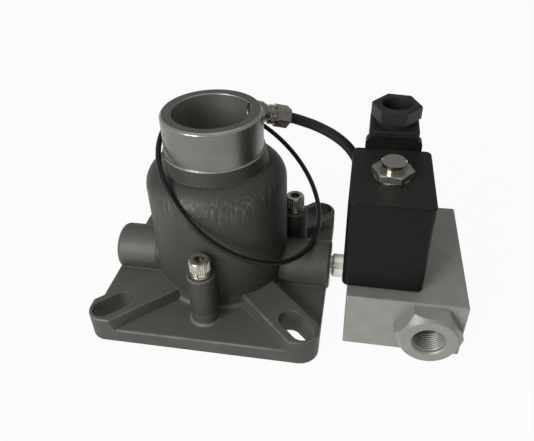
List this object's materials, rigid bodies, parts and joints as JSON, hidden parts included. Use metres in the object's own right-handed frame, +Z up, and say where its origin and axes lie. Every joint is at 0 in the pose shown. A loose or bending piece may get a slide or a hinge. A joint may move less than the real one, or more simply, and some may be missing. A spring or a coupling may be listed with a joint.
{
  "type": "air compressor intake valve",
  "caption": "Screw compressor intake valve with a slotted square flange, inlet neck, solenoid control block and bleed hose.",
  "frame": {"origin": "On the inlet neck's axis, in the plane of the flange's underside.", "axes": "+Z up through the inlet neck, +X to the solenoid block, +Y away from the block's port."},
  "size_m": [0.1881, 0.12, 0.1047],
  "materials": {
    "casting": "as-cast skin, machined where it meets other parts",
    "machined_base": "turned and milled",
    "steel": "turned steel",
    "fasteners": "zinc plated",
    "nickel": "nickel plated",
    "chrome": "bright chrome",
    "block_metal": "milled and blasted",
    "rubber": "black rubber",
    "moulding": "black glass-filled moulding",
    "bronze": "sintered bronze",
    "spring_steel": "spring wire"
  },
  "bodies": {
    "root": {"body_casting": "casting", "guide_base": "machined_base", "feed_seal": "rubber", "rod_bush": "bronze", "cylinder_cap": "machined_base", "cap_seal": "rubber", "retaining_ring": "spring_steel", "cap_screws": "fasteners", "lock_washers": "fasteners", "plain_washers": "fasteners", "flange_seal": "rubber", "neck_fitting": "nickel", "neck_fitting_nut": "nickel", "block_fitting": "nickel", "block_fitting_nut": "nickel", "bleed_hose": "rubber", "nipple": "nickel", "control_block": "block_metal", "block_plug": "fasteners", "port_fitting": "block_metal", "armature_tube": "chrome", "tube_seal": "rubber", "coil": "moulding", "coil_washer": "fasteners", "coil_nut": "nickel", "plug_gasket": "rubber", "plug_housing": "moulding", "plug_screw": "fasteners", "gland_nut": "moulding", "gland_grommet": "rubber"},
    "unloader": {"piston": "machined_base", "piston_seal": "rubber", "piston_spring": "spring_steel"},
    "intake_disc": {"valve_disc": "steel", "disc_seal": "rubber", "clamp_plate": "steel", "clamp_nut": "fasteners", "disc_spring": "spring_steel"},
    "solenoid_plunger": {"plunger": "steel", "plunger_seal": "rubber", "plunger_spring": "spring_steel"}
  },
  "joints": [
    {"name": "intake_disc_slide", "type": "slide", "parent": "root", "child": "intake_disc", "axis": [0, 0, -1], "range_m": [0, 0.012], "stiffness_N_per_m": 500, "springref_m": -0.01, "deforming": ["disc_spring"]},
    {"name": "unloader_slide", "type": "slide", "parent": "root", "child": "unloader", "axis": [0, 0, -1], "range_m": [0, 0.012], "stiffness_N_per_m": 400, "springref_m": -0.01, "deforming": ["piston_spring"]},
    {"name": "plunger_slide", "type": "slide", "parent": "root", "child": "solenoid_plunger", "axis": [0, 0, 1], "range_m": [0, 0.003], "stiffness_N_per_m": 300, "springref_m": -0.005, "deforming": ["plunger_spring"]}
  ],
  "couplings": [
    {"joint": "unloader_slide", "follows": "intake_disc_slide", "ratio": 1}
  ]
}
